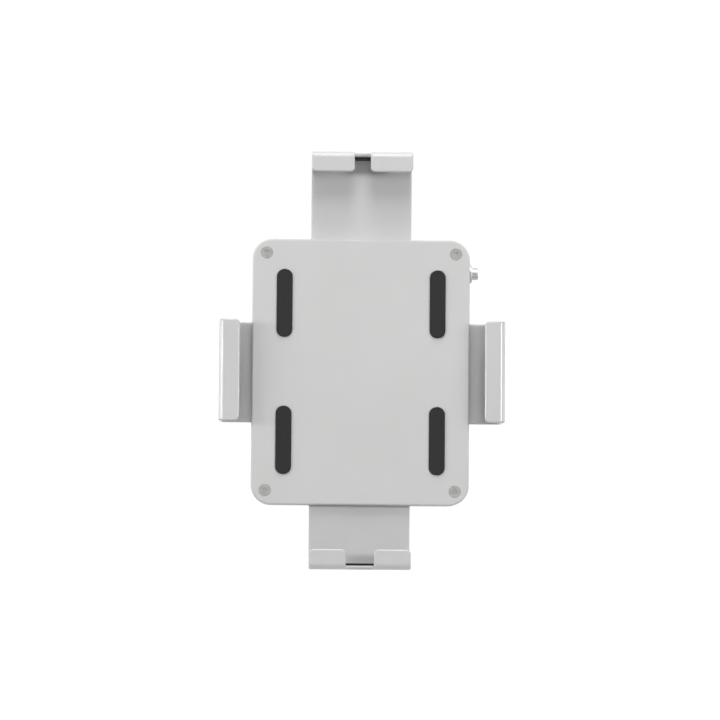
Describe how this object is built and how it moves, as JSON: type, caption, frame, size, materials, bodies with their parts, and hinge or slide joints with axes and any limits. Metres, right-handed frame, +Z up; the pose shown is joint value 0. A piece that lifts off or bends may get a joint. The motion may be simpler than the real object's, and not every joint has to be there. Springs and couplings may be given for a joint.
{
  "type": "tablet wall mount",
  "caption": "Lockable wall mount that grips a small or medium tablet with sliding folded claws and turns between portrait and landscape on a friction swivel.",
  "frame": {"origin": "centre of the wall plate's back face, on the swivel axis and at the centre of the wall-hole pattern", "axes": "+Z up, +X to the viewer's right, +Y into the wall; the mount stands out from the wall along -Y"},
  "size_m": [0.1414, 0.0345, 0.2066],
  "materials": {
    "white_powder_coat": "semi-matt powder coat",
    "white_plastic": "fine moulded texture",
    "white_nylon": "natural nylon",
    "black_rubber": "matt",
    "zinc_steel": "zinc plated",
    "steel_screws": "nickel plated",
    "spring_steel": "bright spring steel",
    "friction_fibre": "pressed fibre",
    "brass_bush": "turned",
    "lock_chrome": "bright chrome",
    "lock_brass": "nickelled brass key plug"
  },
  "bodies": {
    "wall_side": {"wall_plate": "zinc_steel", "pivot_stud": "steel_screws", "hub_ring": "zinc_steel", "rear_friction_washer": "friction_fibre", "front_friction_washer": "friction_fibre", "disc_spring": "spring_steel", "pivot_washer": "zinc_steel", "pivot_nut": "zinc_steel"},
    "holder": {"rear_shell": "white_plastic", "chassis_plate": "zinc_steel", "pivot_bush": "brass_bush", "shell_screws": "zinc_steel", "cover_posts": "zinc_steel", "front_cover": "white_plastic", "cover_screws": "steel_screws", "cover_pads": "black_rubber", "side_glides": "white_nylon", "side_washers": "zinc_steel", "side_arm_screws": "steel_screws", "end_spacers": "zinc_steel", "end_washers": "zinc_steel", "end_arm_screws": "steel_screws", "lock_body": "lock_chrome", "lock_nut": "zinc_steel", "lock_spring": "spring_steel", "bolt_guide": "zinc_steel"},
    "left_claw": {"left_arm": "white_powder_coat", "left_liner": "black_rubber"},
    "right_claw": {"right_arm": "white_powder_coat", "right_liner": "black_rubber"},
    "top_claw": {"top_arm": "white_powder_coat", "top_liner": "black_rubber"},
    "bottom_claw": {"bottom_arm": "white_powder_coat", "bottom_liner": "black_rubber"},
    "plunger": {"lock_plunger": "lock_chrome", "lock_clip": "spring_steel"},
    "key_plug": {"lock_plug": "lock_brass"}
  },
  "joints": [
    {"name": "swivel", "type": "hinge", "parent": "wall_side", "child": "holder", "pos_m": [0, 0, 0], "axis": [0, 1, 0], "continuous": true},
    {"name": "left_slide", "type": "slide", "parent": "holder", "child": "left_claw", "axis": [-1, 0, 0], "range_m": [-0.003, 0.0225]},
    {"name": "right_slide", "type": "slide", "parent": "holder", "child": "right_claw", "axis": [1, 0, 0], "range_m": [-0.003, 0.0225]},
    {"name": "top_slide", "type": "slide", "parent": "holder", "child": "top_claw", "axis": [0, 0, 1], "range_m": [-0.0034, 0.0272]},
    {"name": "bottom_slide", "type": "slide", "parent": "holder", "child": "bottom_claw", "axis": [0, 0, -1], "range_m": [-0.0034, 0.0272]},
    {"name": "lock_push", "type": "slide", "parent": "holder", "child": "plunger", "axis": [-1, 0, 0], "range_m": [0, 0.003], "stiffness_N_per_m": 400, "springref_m": -0.002, "deforming": ["lock_spring"]},
    {"name": "lock_turn", "type": "hinge", "parent": "plunger", "child": "key_plug", "pos_m": [0.0548, -0.0167, 0.05], "axis": [1, 0, 0], "range_deg": [0, 90]}
  ]
}
